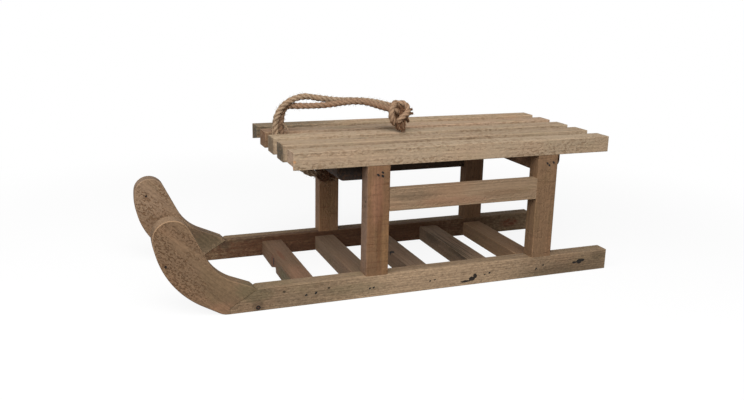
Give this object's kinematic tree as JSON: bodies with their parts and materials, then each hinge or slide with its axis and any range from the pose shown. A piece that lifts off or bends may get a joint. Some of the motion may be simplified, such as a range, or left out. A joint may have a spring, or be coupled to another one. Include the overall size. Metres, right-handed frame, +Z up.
{
  "type": "wooden sled",
  "caption": "Small rustic sled of weathered battens: runners with scarfed upturned horns, posts carrying a slatted deck, a slatted floor and a knotted rope handle.",
  "frame": {"origin": "on the floor under the middle of the runners", "axes": "+X forward to the horns, +Y to the sled's left, +Z up"},
  "size_m": [0.5919, 0.21, 0.2316],
  "materials": {
    "deck_wood": "weathered, rough sawn",
    "frame_wood": "weathered, rough sawn",
    "horn_wood": "weathered, rough sawn",
    "shaded_wood": "weathered, rough sawn",
    "bark_wood": "weathered, rough sawn",
    "rope": "twisted fibre, frayed"
  },
  "bodies": {
    "root": {"deck_slat_1": "deck_wood", "deck_slat_2": "deck_wood", "deck_slat_3": "deck_wood", "deck_slat_4": "deck_wood", "deck_slat_5": "deck_wood", "runner_left": "frame_wood", "runner_right": "frame_wood", "post_front_left": "frame_wood", "post_front_right": "frame_wood", "post_rear_left": "frame_wood", "post_rear_right": "frame_wood", "tie_left": "frame_wood", "tie_right": "frame_wood", "horn_left": "horn_wood", "horn_right": "horn_wood", "floor_slat_1": "shaded_wood", "floor_slat_2": "shaded_wood", "floor_slat_3": "shaded_wood", "floor_slat_4": "shaded_wood", "floor_slat_5": "shaded_wood", "bearer_front": "bark_wood", "bearer_rear": "bark_wood", "rope_strand_1": "rope", "rope_strand_2": "rope", "rope_knot": "rope", "rope_hitch": "rope"}
  },
  "joints": []
}
